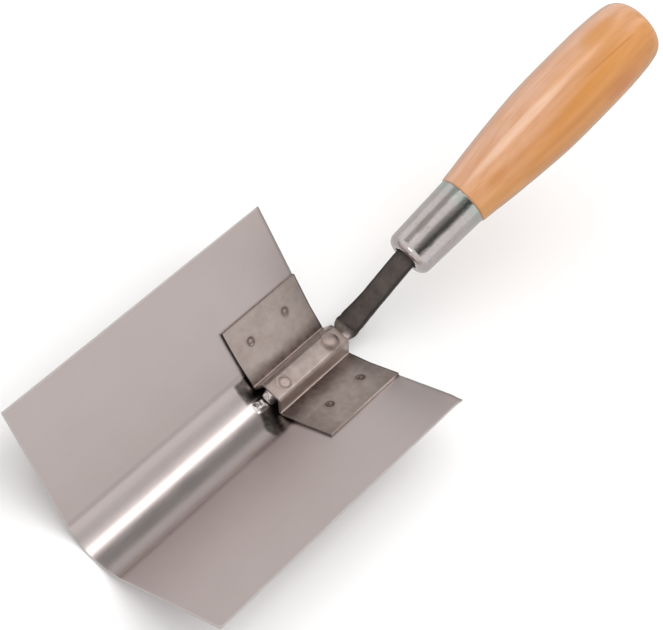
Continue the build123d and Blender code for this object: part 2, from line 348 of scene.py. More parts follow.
def bracket_masks(u, y, p, off):
    x, z = abs(p[0]), p[1]
    along = hypot(x, z - CORNER_Z)
    on_flange = smoothstep(FOLD - 0.2, FOLD + 0.6, x)
    wav = 1.2 * nz(y * 0.12, p[0] * 0.2, 9.0)
    # painted shade with soot: the flanges darken towards the folds beside the risers; the -X flange is darker overall,
    # and towards its outer edge and front
    if p[0] > 0:
        soot = on_flange * (1 - smoothstep(9.5, 16.5, along + wav))
        riser = (1 - on_flange) * smoothstep(HAT_HALF - 0.4, HAT_HALF + 0.5, x) * 0.0
    else:
        soot = on_flange * (0.20 + 0.80 * (1 - smoothstep(10.0, 20.0, along + wav))) * (0.55 + 0.45 * smoothstep(0, 15, y + wav))
        riser = (1 - on_flange) * smoothstep(HAT_HALF - 0.4, HAT_HALF + 0.5, x) * 0.05
        soot += 0.16 * smoothstep(28.5, 31.5, along) + 0.14 * smoothstep(28.0, 36.0, y) * on_flange
    # painted light: the risers' outer faces pale, more on the +X side and towards the top
    bare = (1 - on_flange) * smoothstep(HAT_HALF - 0.1, HAT_HALF + 0.7, x) * (1.0 if p[0] > 0 else 0.62) * (0.85 + 0.15 * nz(y * 0.3, 4.0, 2.0)) * (0.35 + 0.65 * smoothstep(fold_lz + 1.2, fold_lz + 4.2, z))
    # painted reflection: the hat's top darkens towards +X
    top_edge = (1 - on_flange) * (1 - smoothstep(HAT_HALF + 0.2, HAT_HALF + 0.7, x)) * (0.31 + 0.24 * smoothstep(0.0, 3.4, p[0]) * (1 - smoothstep(4.2, 5.0, p[0])))
    # painted highlight: a thin pale line along each fold
    fold = (1 - smoothstep(0.20, 0.55, hypot(x - fold_lx + (0.12 if p[0] > 0 else -0.25), z - fold_lz - 0.95))) if off > 0 else 0.0
    # painted shade: the strip's sheared end faces darkened, pale on the -X flange as painted light
    cut = smoothstep(BR_LEN - 0.20, BR_LEN - 0.02, y - (bracket_skew(u, BR_LEN) - BR_LEN))
    cut = max(cut, 0.62 * (1 - smoothstep(0.25, 0.85, y - bracket_skew(u, 0))))
    # darker along the hat's back edge; heat tint round the welds
    scorch = 0.55 * (1 - smoothstep(0.2, 1.9, y)) * (1 - on_flange)
    for wy, r in HAT_WELDS:
        d = hypot(p[0], y - wy)
        scorch = max(scorch, (1 - smoothstep(r * 0.9, r * 1.7, d)) * 0.34)
    # painted shade: a brown crescent beside the back weld, on one side of its bump
    scorch = max(scorch, 0.75 * (1 - smoothstep(0.3, 1.6, abs(hypot(p[0] - 0.4, y - 5.0) - 3.9))) * smoothstep(0.5, 3.0, y - 5.0 - 0.7 * p[0]) * (1 - on_flange))
    for wx, wy, wz in weld_xz:
        d = sqrt((p[0] - wx) ** 2 + (y - wy) ** 2 + (p[1] - wz) ** 2)
        scorch = max(scorch, (1 - smoothstep(0.8, 3.2, d)) * (0.55 if wx > 0 else 0.8))
    # painted light: the -X flange's edges and cut faces pale, fading towards its front
    pale = (1.0 if p[0] < 0 else 0.0) * smoothstep(1.5, 3.5, y) * on_flange * (1 - 0.55 * smoothstep(10, 30, y) * smoothstep(10, 15, along))
    return {
        "soot": min(1.0, soot + riser + top_edge), "fold": fold * (1 - cut), "scorch": scorch,
        "cut": cut * on_flange, "bare": bare, "pale": pale,
    }


bracket = sheet_solid(
    "bracket_strip", bracket_path, BR_T, frange(0, BR_LEN, 0.36), 0.17, bracket_move,
    bracket_skew, bracket_masks,
)
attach(bracket, "root")
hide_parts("bracket")


# --------------------------------------------------------------- lathe work
def lathe(name, profile, origin, axis, up, seg=96, closed=False, wobble=None):
    """Turns (distance, radius) points about an axis. Ends at radius 0 are poles."""
    o, a, e1 = Vector(origin), Vector(axis).normalized(), Vector(up).normalized()
    e2 = a.cross(e1)
    verts, rings, along = [], [], []
    for s, r in profile:
        if r <= 1e-6:
            rings.append([len(verts)])
            verts.append(tuple(o + a * s))
            along.append(s)
            continue
        ring = []
        for k in range(seg):
            t = 2 * pi * k / seg
            rr = r + (wobble(s, t, r) if wobble else 0.0)
            ring.append(len(verts))
            verts.append(tuple(o + a * s + e1 * (rr * cos(t)) + e2 * (rr * sin(t))))
            along.append(s)
        rings.append(ring)
    faces = []
    pairs = list(zip(rings[:-1], rings[1:]))
    if closed:
        pairs.append((rings[-1], rings[0]))
    for A, B in pairs:
        if len(A) == 1 and len(B) == 1:
            continue
        for k in range(seg):
            j = (k + 1) % seg
            if len(A) == 1:
                faces.append((A[0], B[k], B[j]))
            elif len(B) == 1:
                faces.append((A[k], B[0], A[j]))
            else:
                faces.append((A[k], B[k], B[j], A[j]))
    return make_object(name, verts, faces, {"along": along})


def catmull(points, per):
    """Smooth curve through (s, r) points."""
    out = []
    n = len(points)
    for i in range(n - 1):
        p0 = points[max(0, i - 1)]
        p1, p2 = points[i], points[i + 1]
        p3 = points[min(n - 1, i + 2)]
        for k in range(per):
            t = k / per
            q = []
            for c in (0, 1):
                # centripetal-like tangents by finite differences
                m1 = (p2[c] - p0[c]) / (2 if i > 0 else 1)
                m2 = (p3[c] - p1[c]) / (2 if i < n - 2 else 1)
                q.append(
                    (2 * t**3 - 3 * t**2 + 1) * p1[c] + (t**3 - 2 * t**2 + t) * m1
                    + (-2 * t**3 + 3 * t**2) * p2[c] + (t**3 - t**2) * m2
                )
            out.append(tuple(q))
    out.append(points[-1])
    return out


def arc(cx, cr, r, a0, a1, k):
    return [
        (cx + r * cos(radians(a0 + (a1 - a0) * i / k)), cr + r * sin(radians(a0 + (a1 - a0) * i / k)))
        for i in range(k + 1)
    ]


H0 = (0.0, H_Y, H_Z)
# ferrule: drawn cup with a rounded shoulder; the hole's lip is rolled in
F0, F1 = -1.6, 28.0
RF, RR, FW, SH, HOLE = 8.97, 9.95, 0.9, 3.2, 4.9


def cone(s):
    return RF + (RR - RF) * (s - F0) / (F1 - F0)


rs = cone(F0 + SH)
ferr = []
ferr += arc(F0 + 0.45, HOLE + 0.45, 0.45, 270, 180, 6)                       # lip of the hole
ferr += arc(F0 + SH, rs - SH, SH, 180, 90, 16)                               # shoulder
ferr += [(F0 + SH + (F1 - 0.4 - F0 - SH) * i / 64, cone(F0 + SH + (F1 - 0.4 - F0 - SH) * i / 64)) for i in range(1, 65)]
ferr += arc(F1 - 0.35, RR - 0.36, 0.35, 85, 0, 5)                            # rear rim
ferr += [(F1 - 0.02, RR - FW + 0.12), (F1 - 0.2, RR - FW)]
ferr += [(F0 + SH + 1, rs - FW)]
ferr += arc(F0 + SH, rs - SH, SH - FW, 90, 180, 8)
ferr += [(F0 + FW, HOLE + 0.2)]


def ferrule_wobble(s, t, r):
    # drawn tube is never quite round; a few shallow press marks near the front
    w = 0.035 * nz(cos(t) * 1.1, sin(t) * 1.1, s * 0.07 + 5)
    w += 0.03 * nz(cos(t) * 2.6, sin(t) * 2.6, s * 0.22 + 11) * smoothstep(0, 4, s)
    ends = 1 - smoothstep(3.0, 8.5, s) + smoothstep(19.0, 25.0, s)
    w += 0.009 * ends * nz(cos(t) * 9, sin(t) * 9, s * 0.9 + 21) * smoothstep(-1.2, 1.5, s)
    return w


ferrule = lathe("ferrule_cup", ferr, H0, AX, UP, 180, closed=True, wobble=ferrule_wobble)
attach(ferrule, "root")
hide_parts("ferrule")

# handle: spigot, small round-over at the ferrule, swelling grip, rounded butt
grip = [
    (28.0, 9.85), (28.35, 10.2), (28.9, 10.45), (33.2, 10.92), (39.0, 11.70), (45.0, 12.38), (54.2, 13.32),
    (63.4, 14.13), (70.0, 14.58), (78.0, 14.76), (86.0, 14.78), (94.0, 14.72),
    (101.0, 14.58), (107.0, 14.22), (112.0, 13.76), (116.2, 13.02), (118.6, 12.0),
    (120.3, 10.5), (121.4, 8.6), (121.95, 6.4),
]
wood = [(3.2, 0.0), (3.2, 4.9), (3.2, 8.0), (3.6, 8.2), (27.9, 9.0)]
wood += [(27.98, 9.3)] + catmull(grip, 8)
wood += [(122.08, 4.4), (122.1, 2.2), (122.1, 0.0)]


def wood_wobble(s, t, r):
    w = 0.05 * nz(cos(t) * 0.9, sin(t) * 0.9, s * 0.02 + 40)
    w += 0.012 * nz(cos(t) * 2.2, sin(t) * 2.2, s * 0.15 + 80)
    w += 0.006 * sin(s * 2 * pi / 1.35) * smoothstep(30, 40, s) * (0.5 + 0.5 * nz(s * 0.11, 1.0, 2.0))
    return w * smoothstep(28.2, 31, s)


handle = lathe("handle_wood", wood, H0, AX, UP, 160, wobble=wood_wobble)
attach(handle, "root")
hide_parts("handle")

# --------------------------------------------------------------- shank
FOOT = (5.4, 6.4, 1.3)
FLAT = (8.1, 3.8, 1.15)
foot_z = HAT_TOP - BR_T - FOOT[1] / 2
RISE, BEND, UBEND = radians(58.0), 8.0, 8.0
by = 0.4
b1 = (by - BEND * sin(RISE), foot_z + BEND * (1 - cos(RISE)))
kk = tan(H_ANG)
rise_len = (H_Z - b1[1] + (H_Y - b1[0]) * kk) / (sin(RISE) - cos(RISE) * kk)
meet = (b1[0] - cos(RISE) * rise_len, b1[1] + sin(RISE) * rise_len)
cutl = UBEND * tan((RISE - H_ANG) / 2)
straight = rise_len - cutl
b2 = (b1[0] - cos(RISE) * straight, b1[1] + sin(RISE) * straight)
c2 = (b2[0] - sin(RISE) * UBEND, b2[1] - cos(RISE) * UBEND)
s_end = (H_Y - meet[0]) / cos(H_ANG) + cutl

stations = []     # (y, z, rise, w, h, r)


def mixs(a, b, f):
    return tuple(a[i] + (b[i] - a[i]) * f for i in range(3))


for y in frange(BR_LEN - 0.8, by, 1.2):
    stations.append((y, foot_z, 0.0) + FOOT)
for i in range(1, 25):
    t = RISE * i / 24
    f = smoothstep(0.12, 0.72, i / 24)
    w, h, r = mixs(FOOT, FLAT, f)
    w += 0.45 * smoothstep(0.35, 0.7, i / 24) * (1 - smoothstep(0.75, 1.0, i / 24))
    stations.append((by - BEND * sin(t), foot_z + BEND * (1 - cos(t)), t, w, h, r))
for i in range(1, 33):
    d = straight * i / 32
    w, h, r = FLAT
    w += 0.25 * (1 - smoothstep(0.0, 0.25, i / 32))
    stations.append((b1[0] - cos(RISE) * d, b1[1] + sin(RISE) * d, RISE, w, h, r))
for i in range(1, 9):
    t = RISE + (H_ANG - RISE) * i / 8
    stations.append((c2[0] + sin(t) * UBEND, c2[1] + cos(t) * UBEND, t) + FLAT)
for s, w, h, r in ((s_end + 1.8, 7.2, 4.1, 1.1), (s_end + 3.6, 6.2, 4.5, 1.05), (s_end + 8.6, 5.2, 5.2, 0.9),
                   (30.0, 4.6, 4.6, 0.8), (74.0, 3.4, 3.4, 0.6)):
    stations.append((H_Y - cos(H_ANG) * s, H_Z + sin(H_ANG) * s, H_ANG, w, h, r))


def ring_points(w, h, r, per=5, side=4):
    pts = []
    for cx, cz, a0 in ((w / 2 - r, h / 2 - r, 0), (-(w / 2 - r), h / 2 - r, 90), (-(w / 2 - r), -(h / 2 - r), 180), (w / 2 - r, -(h / 2 - r), 270)):
        for k in range(per + 1):
            a = radians(a0 + 90 * k / per)
            pts.append((cx + r * cos(a), cz + r * sin(a)))
    out = []
    n = len(pts)
    for i in range(n):
        out.append(pts[i])
        if (i + 1) % (per + 1) == 0:
            a, b = pts[i], pts[(i + 1) % n]
            for k in range(1, side):
                out.append((a[0] + (b[0] - a[0]) * k / side, a[1] + (b[1] - a[1]) * k / side))
    return out


sv, along, edge_shade, count = [], [], [], None
run = 0.0
prev = None
st = []
# rounded front end of the foot
y0_, z0_ = stations[0][0], stations[0][1]
for ins, back in ((0.35, 0.0), (0.12, 0.08), (0.0, 0.3)):
    st.append((y0_ - back, z0_, 0.0, FOOT[0] - 2 * ins, FOOT[1] - 2 * ins, FOOT[2] - ins))
st += stations[1:]
for y, z, t, w, h, r in st:
    if prev is not None:
        run += hypot(y - prev[0], z - prev[1])
    prev = (y, z)
    nrm = (0.0, sin(t), cos(t))
    pts = ring_points(w, h, r)
    count = len(pts)
    for a, b in pts:
        if y > BR_LEN - 6:
            a = a * 0.93 + 0.12
        if a > 0:
            # the hammered root spreads to one side
            a *= 1 + 0.27 * smoothstep(38.6, 40.6, run) * max(0.0, 1 - max(0.0, run - 41.0) / 17.0)
        q = (a, y + nrm[1] * b, z + nrm[2] * b)
        amp = 0.09 * smoothstep(38, 42, run) * (1 - smoothstep(72, 80, run))
        g = amp * (nz(q[0] * 0.25, run * 0.16, b * 0.3) + 0.5 * nz(q[0] * 0.8, run * 0.45, b * 0.9 + 9))
        # hammered step where the flat of the bar begins
        g += -0.32 * math.exp(-(((run - 43.6 + a * 0.22) / 0.55) ** 2)) * (1.0 if b > 0 else 0.0)
        g += 0.45 * math.exp(-(((a + 2.2) / 1.2) ** 2 + ((q[1] + 1.2) / 1.1) ** 2)) * (1.0 if b > 0 else 0.0)
        l = hypot(a, b) or 1.0
        sv.append((a + g * a / l, q[1] + nrm[1] * g * b / l, q[2] + nrm[2] * g * b / l))
        along.append(run)
        # painted shade: the flattened bar's side edges and underside darkened
        edge_shade.append(max(smoothstep(w / 2 - 1.5, w / 2 - 0.2, abs(a)), 1 - smoothstep(0.0, 0.6, b)) * smoothstep(41.0, 44.0, run))
sf = []
for i in range(len(st) - 1):
    for k in range(count):
        j = (k + 1) % count
        sf.append((i * count + k, i * count + j, (i + 1) * count + j, (i + 1) * count + k))
sf.append(tuple(range(count)))
sf.append(tuple((len(st) - 1) * count + k for k in range(count)))
rubbed = [smoothstep(36.0, 38.5, a) * (1 - smoothstep(42.0, 44.0, a)) * smoothstep(-4.2, -2.4, v[0]) for a, v in zip(along, sv)]
# painted highlight: a pale pink patch on the bend
bend_highlight = [min(1.0, 1.3 * math.exp(-(((v[0] + 2.2) / 1.3) ** 2 + ((v[1] + 1.2) / 1.2) ** 2))) for v in sv]
shank = make_object("shank_bar", sv, sf, {"along": along, "rubbed": rubbed, "bend_highlight": bend_highlight, "edge_shade": edge_shade})
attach(shank, "root")
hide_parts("shank")

# --------------------------------------------------------------- welds
def join(name, parts):
    bm = bmesh.new()
    for p in parts:
        bm.from_mesh(p.data)
    me = bpy.data.meshes.new(name)
    bm.to_mesh(me)
    bm.free()
    for p in parts:
        bpy.data.objects.remove(p)
    ob = bpy.data.objects.new(name, me)
    bpy.context.scene.collection.objects.link(ob)
    me.set_sharp_from_angle(angle=radians(38))
    for f in me.polygons:
        f.use_smooth = True
    return ob


def ring_mask(ob, centre, axis, inner, outer, name="ring"):
    """Point attribute that is 1 on a ring about an axis."""
    c, n = Vector(centre), Vector(axis).normalized()
    vals = []
    for v in ob.data.vertices:
        d = v.co / MM - c
        r = (d - n * d.dot(n)).length
        vals.append(smoothstep(inner[0], inner[1], r) * (1 - smoothstep(outer[0], outer[1], r)))
    at = ob.data.attributes.new(name, "FLOAT", "POINT")
    at.data.foreach_set("value", np.array(vals, np.float32))
    return ob


dimples = []
for k, ((side, along_, y), (wx, wy, wz)) in enumerate(zip(WELDS, weld_xz)):
    nrm = (-side * cos(HALF), 0.0, sin(HALF))
    prof = [(-0.20, 0.0), (-0.20, 0.3), (-0.21, 0.6), (-0.27, 0.85), (-0.31, 1.05), (-0.22, 1.25), (-0.05, 1.42), (0.03, 1.58), (0.02, 1.74), (-0.03, 1.88), (-0.45, 1.88), (-0.45, 0.0)]
    one = lathe("d", prof, (wx, wy, wz), nrm, (0, 1, 0), 40,
                wobble=lambda s, t, r, k=k: 0.09 * nz(cos(t) * 1.3 + k * 5, sin(t) * 1.3, 0.4) * min(1.0, r))
    # painted shade with soot: a dark crescent in each pressed groove, offset to one side, heaviest on the welds of the
    # -X side
    ring_mask(one, (wx + 0.1, y - (0.15 if side > 0 else 0.55), wz), nrm, (0.25, 1.0) if side > 0 else (-0.1, 1.15), (1.6, 2.4))
    if side > 0:
        one.data.attributes["ring"].data.foreach_set("value", np.array([0.7 * v.value for v in one.data.attributes["ring"].data], np.float32))
    else:
        one.data.attributes["ring"].data.foreach_set("value", np.array([min(1.0, 1.5 * v.value) for v in one.data.attributes["ring"].data], np.float32))
    dimples.append(one)
wing_welds = join("wing_weld_dimples", dimples)
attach(wing_welds, "root")
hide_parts("wing_spot_welds")

caps = []
front = [(0.06, 0.0), (0.075, 0.4), (0.085, 0.9), (0.06, 1.4), (0.01, 1.75), (-0.07, 2.0), (-0.13, 2.2), (-0.10, 2.38), (0.0, 2.55), (0.045, 2.72), (0.03, 2.9), (-0.02, 3.05), (-0.3, 3.05), (-0.3, 0.0)]
c0 = lathe("c", front, (0, 31.2, HAT_TOP), (0, 0, 1), (0, 1, 0), 56,
           wobble=lambda s, t, r: 0.14 * nz(cos(t) * 1.2, sin(t) * 1.2, 3.3) * min(1.0, r))
# painted shade with soot: a dark ring in the groove round the front cap
ring_mask(c0, (-0.2, 31.0, HAT_TOP), (0, 0, 1), (1.3, 2.2), (2.35, 2.95))
c0.data.attributes["ring"].data.foreach_set("value", np.array([0.42 * v.value for v in c0.data.attributes["ring"].data], np.float32))
caps.append(c0)
back = [(0.79, 0.0), (0.785, 0.45), (0.755, 0.9), (0.70, 1.35), (0.61, 1.8), (0.48, 2.25), (0.32, 2.7), (0.14, 3.05), (0.0, 3.25), (-0.03, 3.36), (-0.01, 3.46), (0.01, 3.54), (-0.02, 3.64), (-0.3, 3.64), (-0.3, 0.0)]
c1 = lathe("c", back, (0, 5.6, HAT_TOP), (0, 0, 1), (0, 1, 0), 64,
           wobble=lambda s, t, r: 0.16 * nz(cos(t) * 1.2 + 7, sin(t) * 1.2, 8.8) * min(1.0, r / 2))
# painted shade: a dark crescent round the back cap's bump, offset to one side
ring_mask(c1, (0.8, 5.5, HAT_TOP), (0, 0, 1), (1.9, 3.2), (3.9, 4.4))
c1.data.attributes["ring"].data.foreach_set("value", np.array([0.55 * v.value for v in c1.data.attributes["ring"].data], np.float32))
caps.append(c1)
hat_welds = join("shank_weld_caps", caps)
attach(hat_welds, "root")
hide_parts("shank_spot_welds")


# --------------------------------------------------------------- materials
class Mat:
    """Small helper to wire a node material."""

    def __init__(self, name):
        self.m = bpy.data.materials.new(name)
        self.m.use_nodes = True
        self.t = self.m.node_tree
        self.t.nodes.clear()
        self.out = self.t.nodes.new("ShaderNodeOutputMaterial")
        self.b = self.t.nodes.new("ShaderNodeBsdfPrincipled")
        self.t.links.new(self.b.outputs["BSDF"], self.out.inputs["Surface"])
        self.co = self.t.nodes.new("ShaderNodeTexCoord").outputs["Object"]

    def set(self, **kw):
        for k, v in kw.items():
            self.b.inputs[k.replace("_", " ")].default_value = v

    def link(self, a, b):
        self.t.links.new(a, b)

    def mapping(self, scale=(1, 1, 1), rot=(0, 0, 0), loc=(0, 0, 0), src=None):
        n = self.t.nodes.new("ShaderNodeMapping")
        n.inputs["Scale"].default_value = scale
        n.inputs["Rotation"].default_value = rot
        n.inputs["Location"].default_value = loc
        self.link(src or self.co, n.inputs["Vector"])
        return n.outputs["Vector"]

    def noise(self, vec, scale, detail=2.0, rough=0.5, distortion=0.0):
        n = self.t.nodes.new("ShaderNodeTexNoise")
        n.inputs["Scale"].default_value = scale
        n.inputs["Detail"].default_value = detail
        n.inputs["Roughness"].default_value = rough
        n.inputs["Distortion"].default_value = distortion
        self.link(vec, n.inputs["Vector"])
        return n.outputs["Fac"]

    def math(self, op, a, b=None, clamp=False):
        n = self.t.nodes.new("ShaderNodeMath")
        n.operation = op
        n.use_clamp = clamp
        for i, v in enumerate((a, b)):
            if v is None:
                continue
            if isinstance(v, (int, float)):
                n.inputs[i].default_value = v
            else:
                self.link(v, n.inputs[i])
        return n.outputs[0]

    def range(self, v, a, b, c, d, smooth=False):
        n = self.t.nodes.new("ShaderNodeMapRange")
        n.interpolation_type = "SMOOTHSTEP" if smooth else "LINEAR"
        for i, k in enumerate((None, a, b, c, d)):
            if k is not None:
                n.inputs[i].default_value = k
        self.link(v, n.inputs[0])
        return n.outputs[0]

    def ramp(self, v, stops):
        n = self.t.nodes.new("ShaderNodeValToRGB")
        e = n.color_ramp.elements
        while len(e) < len(stops):
            e.new(0.5)
        for i, (p, c) in enumerate(stops):
            e[i].position = p
            e[i].color = (*c, 1.0)
        self.link(v, n.inputs[0])
        return n.outputs["Color"]

    def mix(self, f, a, b, blend="MIX"):
        n = self.t.nodes.new("ShaderNodeMix")
        n.data_type = "RGBA"
        n.blend_type = blend
        for i, v in ((0, f), (6, a), (7, b)):
            if isinstance(v, (int, float)):
                n.inputs[i].default_value = v
            elif isinstance(v, tuple):
                n.inputs[i].default_value = (*v, 1.0)
            else:
                self.link(v, n.inputs[i])
        return n.outputs[2]

    def attr(self, name):
        n = self.t.nodes.new("ShaderNodeAttribute")
        n.attribute_name = name
        return n.outputs["Fac"]

    def bump(self, h, strength, dist, prev=None):
        n = self.t.nodes.new("ShaderNodeBump")
        n.inputs["Strength"].default_value = strength
        n.inputs["Distance"].default_value = dist
        self.link(h, n.inputs["Height"])
        if prev is not None:
            self.link(prev, n.inputs["Normal"])
        return n.outputs["Normal"]


# blade: satin polished stainless, fine grain along its length
m = Mat("blade_steel")
grain = m.noise(m.mapping((1, 0.018, 1)), 5200, 3, 0.6)
grain2 = m.noise(m.mapping((1, 0.05, 1)), 1100, 3, 0.55)
cloud = m.noise(m.co, 26, 4, 0.6)
cloud2 = m.noise(m.mapping(loc=(3, 1, 2)), 90, 3, 0.55)
edge_wear_and_shade, nose, crease, nose_dark, glint_mask, rear = [m.attr(k) for k in ("edge_wear_and_shade", "nose", "crease", "stain", "spatter", "rear")]
speck_noise = m.noise(m.mapping((1, 0.6, 1), loc=(1, 4, 2)), 720, 2, 0.6)
col = m.mix(m.range(cloud, 0.3, 0.7, 0, 1), (0.640, 0.562, 0.545), (0.680, 0.606, 0.590))
col = m.mix(m.range(grain, 0.35, 0.65, 0, 0.35), col, (0.72, 0.65, 0.632))
# painted shade: darker line along the nose's tangents
col = m.mix(m.math("MULTIPLY", crease, 0.55), col, (0.40, 0.335, 0.32))
mottle = m.noise(m.mapping(loc=(5, 3, 8)), 520, 3, 0.6)
# dark patches on the nose just in front of the channel
col = m.mix(m.math("MULTIPLY", nose_dark, m.range(mottle, 0.35, 0.65, 0.95, 0.80), True), col, (0.092, 0.080, 0.071))
col = m.mix(m.range(edge_wear_and_shade, 0.55, 1.0, 0, 0.7), col, (0.80, 0.76, 0.745))
col = m.mix(m.math("MULTIPLY", rear, 0.62), col, (0.27, 0.265, 0.245))
# painted glints: near-white specks, with dark specks between, where the nose highlight meets the channel
col = m.mix(m.math("MULTIPLY", glint_mask, m.range(speck_noise, 0.40, 0.47, 0, 1)), col, (0.98, 0.97, 0.96))
col = m.mix(m.math("MULTIPLY", glint_mask, m.range(speck_noise, 0.40, 0.34, 0, 0.7)), col, (0.20, 0.17, 0.165))
m.link(col, m.b.inputs["Base Color"])
r = m.range(nose, 0, 1, 0.40, 0.215)
r = m.math("ADD", r, m.range(grain, 0.3, 0.7, -0.03, 0.03))
r = m.math("ADD", r, m.range(cloud, 0.3, 0.7, -0.02, 0.03))
r = m.math("ADD", r, m.range(cloud2, 0.35, 0.7, -0.01, 0.02))
m.link(r, m.b.inputs["Roughness"])
m.link(m.bump(m.math("MULTIPLY", speck_noise, glint_mask), 0.9, 0.0006, m.bump(grain2, 0.05, 0.00006, m.bump(grain, 0.10, 0.00003))), m.b.inputs["Normal"])
m.set(Metallic=1.0)
blade.data.materials.append(m.m)

# bracket: duller, warmer mill finish, painted shade towards the folds, blued round the welds
m = Mat("bracket_steel")
grain = m.noise(m.mapping((1, 0.04, 1)), 3800, 3, 0.6)
cloud = m.noise(m.co, 120, 5, 0.6)
cloud2 = m.noise(m.mapping(loc=(7, 1, 2)), 420, 3, 0.55)
edge_wear_and_shade, soot, fold, scorch, cut, bare, pale = [m.attr(k) for k in ("edge_wear_and_shade", "soot", "fold", "scorch", "cut", "bare", "pale")]
col = m.mix(m.range(cloud, 0.3, 0.7, 0, 1), (0.490, 0.402, 0.365), (0.595, 0.510, 0.470))
col = m.mix(m.range(grain, 0.35, 0.65, 0, 0.3), col, (0.64, 0.56, 0.52))
# painted shade with soot, darkest towards the folds
col = m.mix(m.math("MULTIPLY", m.math("ADD", soot, m.range(cloud2, 0.4, 0.7, -0.05, 0.12)), 0.88, True), col, (0.100, 0.073, 0.065))
# painted light on the risers
col = m.mix(m.math("MULTIPLY", bare, 0.85), col, (0.93, 0.83, 0.79))
# heat tint round the welds, with painted shade beside the back weld
col = m.mix(scorch, col, (0.31, 0.225, 0.20))
# painted highlight along the folds
col = m.mix(fold, col, (0.86, 0.77, 0.74))
# edge band: painted shade darkens the +X sheet edges, painted light makes the -X ones pale
rim = m.mix(pale, (0.24, 0.20, 0.19), (0.80, 0.72, 0.695))
col = m.mix(m.range(edge_wear_and_shade, 0.86, 1.0, 0, 0.65), col, rim)
# painted shade: sheared end faces near black, pale on the -X flange as painted light
col = m.mix(cut, col, m.mix(pale, (0.045, 0.036, 0.034), (0.36, 0.305, 0.285)))
m.link(col, m.b.inputs["Base Color"])
r = m.range(cloud, 0.3, 0.7, 0.42, 0.33)
r = m.math("ADD", r, m.range(grain, 0.3, 0.7, -0.03, 0.03))
m.link(r, m.b.inputs["Roughness"])
m.link(m.bump(cloud2, 0.12, 0.00008, m.bump(grain, 0.12, 0.00004)), m.b.inputs["Normal"])
m.set(Metallic=1.0)
bracket.data.materials.append(m.m)

# shank: black mill scale; the sawn end painted lit on one side and shaded on the other
m = Mat("dark_steel")
big = m.noise(m.co, 160, 5, 0.62)
fine = m.noise(m.mapping((1, 1, 1), loc=(2, 5, 1)), 1500, 4, 0.65)
col = m.mix(m.range(big, 0.3, 0.7, 0, 1), (0.056, 0.041, 0.038), (0.128, 0.105, 0.097))
col = m.mix(m.range(fine, 0.45, 0.75, 0, 0.5), col, (0.14, 0.125, 0.115))
sep = m.t.nodes.new("ShaderNodeSeparateXYZ")
m.link(m.co, sep.inputs[0])
endm = m.range(sep.outputs["Y"], 0.0372, 0.0375, 0, 1)
rub = m.math("MULTIPLY", m.attr("rubbed"), m.range(fine, 0.3, 0.6, 0.45, 1.0))
# painted shade on the bar's edges and underside
col = m.mix(m.math("MULTIPLY", m.attr("edge_shade"), 0.72), col, (0.030, 0.027, 0.024))
patches = m.noise(m.mapping((1, 1, 1), loc=(6, 2, 3)), 480, 3, 0.6)
col = m.mix(m.math("MULTIPLY", rub, m.range(patches, 0.35, 0.6, 0.35, 1.0)), col, (0.200, 0.165, 0.145))
# painted highlight on the bend
col = m.mix(m.math("MULTIPLY", m.attr("bend_highlight"), m.range(fine, 0.3, 0.6, 0.8, 1.1), True), col, (0.74, 0.61, 0.59))
# the sawn end: painted light on one side, painted shadow on the other
end_split = m.math("ADD", sep.outputs["X"], m.range(m.noise(m.co, 900, 3, 0.6), 0.3, 0.7, -0.0007, 0.0007))
lit_end = m.math("MULTIPLY", endm, m.range(end_split, -0.0012, -0.0002, 0, 1))
col = m.mix(endm, col, (0.150, 0.118, 0.122))
col = m.mix(lit_end, col, (0.93, 0.90, 0.88))
m.link(col, m.b.inputs["Base Color"])
r = m.range(big, 0.3, 0.7, 0.42, 0.58)
r = m.math("ADD", r, m.range(fine, 0.3, 0.7, -0.06, 0.06))
m.link(m.math("SUBTRACT", r, m.math("MULTIPLY", lit_end, 0.22)), m.b.inputs["Roughness"])
m.link(m.bump(fine, 0.35, 0.0001, m.bump(big, 0.3, 0.0003)), m.b.inputs["Normal"])
m.link(m.math("MAXIMUM", endm, 0.55), m.b.inputs["Metallic"])
shank.data.materials.append(m.m)

# ferrule: bright zinc plate, drawn along its axis
m = Mat("plated_steel")
rot = (H_ANG, 0, 0)
draw = m.noise(m.mapping((1, 0.03, 1), rot), 2600, 3, 0.6)
cloud = m.noise(m.co, 150, 4, 0.6)
col = m.mix(m.range(cloud, 0.3, 0.7, 0, 1), (0.645, 0.590, 0.580), (0.715, 0.665, 0.655))
mott = m.noise(m.mapping(loc=(4, 4, 1)), 620, 4, 0.7)
col = m.mix(m.range(mott, 0.52, 0.72, 0, 0.35), col, (0.42, 0.40, 0.38))
m.link(col, m.b.inputs["Base Color"])
tint = m.math("MULTIPLY", m.range(m.attr("along"), 20.5, 26.5, 0, 1, True), m.range(cloud, 0.35, 0.65, 0.5, 1.0))
col = m.mix(tint, col, (0.57, 0.62, 0.575))
m.link(col, m.b.inputs["Base Color"])
r = m.range(draw, 0.3, 0.7, 0.09, 0.15)
r = m.math("ADD", r, m.range(cloud, 0.35, 0.7, -0.015, 0.04))
m.link(r, m.b.inputs["Roughness"])
al = m.attr("along")
ends = m.math("ADD", m.range(al, 4.0, 10.5, 1, 0.25, True), m.range(al, 15.5, 24.0, 0, 0.75, True))
dents = m.noise(m.mapping((1, 0.7, 1), rot), 640, 3, 0.55)
sepf = m.t.nodes.new("ShaderNodeSeparateXYZ")
m.link(m.mapping(rot=rot), sepf.inputs[0])
turn = m.math("MULTIPLY", m.math("ARCTAN2", sepf.outputs["X"], m.math("SUBTRACT", sepf.outputs["Z"], (H_Y * sin(H_ANG) + H_Z * cos(H_ANG)) * MM)), 180 / pi)
uneven = m.range(m.math("ABSOLUTE", m.math("ADD", turn, 22.0)), 9, 22, 1, 0.06, True)
